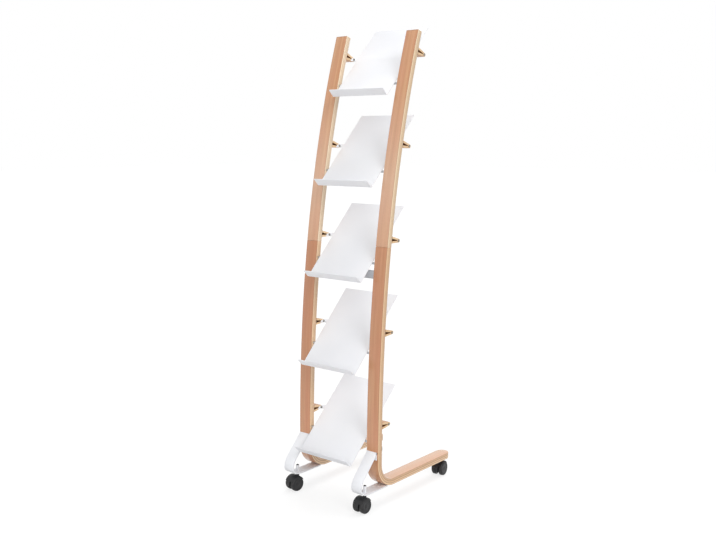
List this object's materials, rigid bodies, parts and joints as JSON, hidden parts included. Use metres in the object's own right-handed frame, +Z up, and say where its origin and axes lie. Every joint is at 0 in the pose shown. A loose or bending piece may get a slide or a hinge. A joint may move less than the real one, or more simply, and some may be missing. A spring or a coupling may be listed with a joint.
{
  "type": "periodical display rack",
  "caption": "Mobile display rack with bentwood uprights swept back from long feet, tilted white steel shelves with ledges between them, and twin-wheel castors under the feet.",
  "frame": {"origin": "on the floor, in the middle of the rack's box seen from above", "axes": "+Z up, +X to the right of a reader who faces the shelves, +Y from the reader to the back, the way the long feet point"},
  "size_m": [0.3426, 0.4988, 1.5263],
  "materials": {
    "beech_band": "clear satin lacquer",
    "beech_block": "clear satin lacquer",
    "beech_tenon": "bare, glued in",
    "white_shelf": "white powder coat",
    "white_strap": "white powder coat",
    "grey_rail": "grey powder coat",
    "grey_rod": "bright zinc plate",
    "bolt_steel": "bright zinc plate",
    "stem_steel": "bright zinc plate",
    "castor_black": "fine moulded grain",
    "wheel_black": "smooth moulded"
  },
  "bodies": {
    "frame": {"upright_lower_left": "beech_band", "upright_upper_left": "beech_band", "splice_tenon_left": "beech_tenon", "upright_lower_right": "beech_band", "upright_upper_right": "beech_band", "splice_tenon_right": "beech_tenon", "cross_rail": "grey_rail", "leg_strap_left": "white_strap", "leg_strap_right": "white_strap", "shelf_1": "white_shelf", "support_rod_1": "grey_rod", "wedge_bracket_1_left": "beech_block", "bracket_bolt_1_left": "bolt_steel", "wedge_bracket_1_right": "beech_block", "bracket_bolt_1_right": "bolt_steel", "shelf_2": "white_shelf", "support_rod_2": "grey_rod", "wedge_bracket_2_left": "beech_block", "bracket_bolt_2_left": "bolt_steel", "wedge_bracket_2_right": "beech_block", "bracket_bolt_2_right": "bolt_steel", "shelf_3": "white_shelf", "support_rod_3": "grey_rod", "wedge_bracket_3_left": "beech_block", "bracket_bolt_3_left": "bolt_steel", "wedge_bracket_3_right": "beech_block", "bracket_bolt_3_right": "bolt_steel", "shelf_4": "white_shelf", "support_rod_4": "grey_rod", "wedge_bracket_4_left": "beech_block", "bracket_bolt_4_left": "bolt_steel", "wedge_bracket_4_right": "beech_block", "bracket_bolt_4_right": "bolt_steel", "shelf_5": "white_shelf", "support_rod_5": "grey_rod", "wedge_bracket_5_left": "beech_block", "bracket_bolt_5_left": "bolt_steel", "wedge_bracket_5_right": "beech_block", "bracket_bolt_5_right": "bolt_steel", "castor_stem_front_left": "stem_steel", "castor_stem_front_right": "stem_steel", "castor_stem_rear_left": "stem_steel", "castor_stem_rear_right": "stem_steel"},
    "castor_front_left": {"castor_housing_front_left": "castor_black", "castor_axle_front_left": "stem_steel"},
    "wheel_front_left_a": {"castor_wheel_front_left_a": "wheel_black"},
    "wheel_front_left_b": {"castor_wheel_front_left_b": "wheel_black"},
    "castor_front_right": {"castor_housing_front_right": "castor_black", "castor_axle_front_right": "stem_steel"},
    "wheel_front_right_a": {"castor_wheel_front_right_a": "wheel_black"},
    "wheel_front_right_b": {"castor_wheel_front_right_b": "wheel_black"},
    "castor_rear_left": {"castor_housing_rear_left": "castor_black", "castor_axle_rear_left": "stem_steel"},
    "wheel_rear_left_a": {"castor_wheel_rear_left_a": "wheel_black"},
    "wheel_rear_left_b": {"castor_wheel_rear_left_b": "wheel_black"},
    "castor_rear_right": {"castor_housing_rear_right": "castor_black", "castor_axle_rear_right": "stem_steel"},
    "wheel_rear_right_a": {"castor_wheel_rear_right_a": "wheel_black"},
    "wheel_rear_right_b": {"castor_wheel_rear_right_b": "wheel_black"}
  },
  "joints": [
    {"name": "castor_swivel_front_left", "type": "hinge", "parent": "frame", "child": "castor_front_left", "pos_m": [-0.14575, -0.19958, 0.0415], "axis": [0, 0, 1], "continuous": true},
    {"name": "wheel_spin_front_left_a", "type": "hinge", "parent": "castor_front_left", "child": "wheel_front_left_a", "pos_m": [-0.16107, -0.21157, 0.024], "axis": [0.9903, -0.1392, 0], "continuous": true},
    {"name": "wheel_spin_front_left_b", "type": "hinge", "parent": "castor_front_left", "child": "wheel_front_left_b", "pos_m": [-0.13433, -0.21533, 0.024], "axis": [0.9903, -0.1392, 0], "continuous": true},
    {"name": "castor_swivel_front_right", "type": "hinge", "parent": "frame", "child": "castor_front_right", "pos_m": [0.14575, -0.19958, 0.0415], "axis": [0, 0, 1], "continuous": true},
    {"name": "wheel_spin_front_right_a", "type": "hinge", "parent": "castor_front_right", "child": "wheel_front_right_a", "pos_m": [0.13225, -0.21358, 0.024], "axis": [1, 0, 0], "continuous": true},
    {"name": "wheel_spin_front_right_b", "type": "hinge", "parent": "castor_front_right", "child": "wheel_front_right_b", "pos_m": [0.15925, -0.21358, 0.024], "axis": [1, 0, 0], "continuous": true},
    {"name": "castor_swivel_rear_left", "type": "hinge", "parent": "frame", "child": "castor_rear_left", "pos_m": [-0.14575, 0.20142, 0.0415], "axis": [0, 0, 1], "continuous": true},
    {"name": "wheel_spin_rear_left_a", "type": "hinge", "parent": "castor_rear_left", "child": "wheel_rear_left_a", "pos_m": [-0.13433, 0.21716, 0.024], "axis": [0.9903, 0.1392, 0], "continuous": true},
    {"name": "wheel_spin_rear_left_b", "type": "hinge", "parent": "castor_rear_left", "child": "wheel_rear_left_b", "pos_m": [-0.16107, 0.2134, 0.024], "axis": [0.9903, 0.1392, 0], "continuous": true},
    {"name": "castor_swivel_rear_right", "type": "hinge", "parent": "frame", "child": "castor_rear_right", "pos_m": [0.14575, 0.20142, 0.0415], "axis": [0, 0, 1], "continuous": true},
    {"name": "wheel_spin_rear_right_a", "type": "hinge", "parent": "castor_rear_right", "child": "wheel_rear_right_a", "pos_m": [0.15717, 0.21716, 0.024], "axis": [0.9903, 0.1392, 0], "continuous": true},
    {"name": "wheel_spin_rear_right_b", "type": "hinge", "parent": "castor_rear_right", "child": "wheel_rear_right_b", "pos_m": [0.13043, 0.2134, 0.024], "axis": [0.9903, 0.1392, 0], "continuous": true}
  ]
}
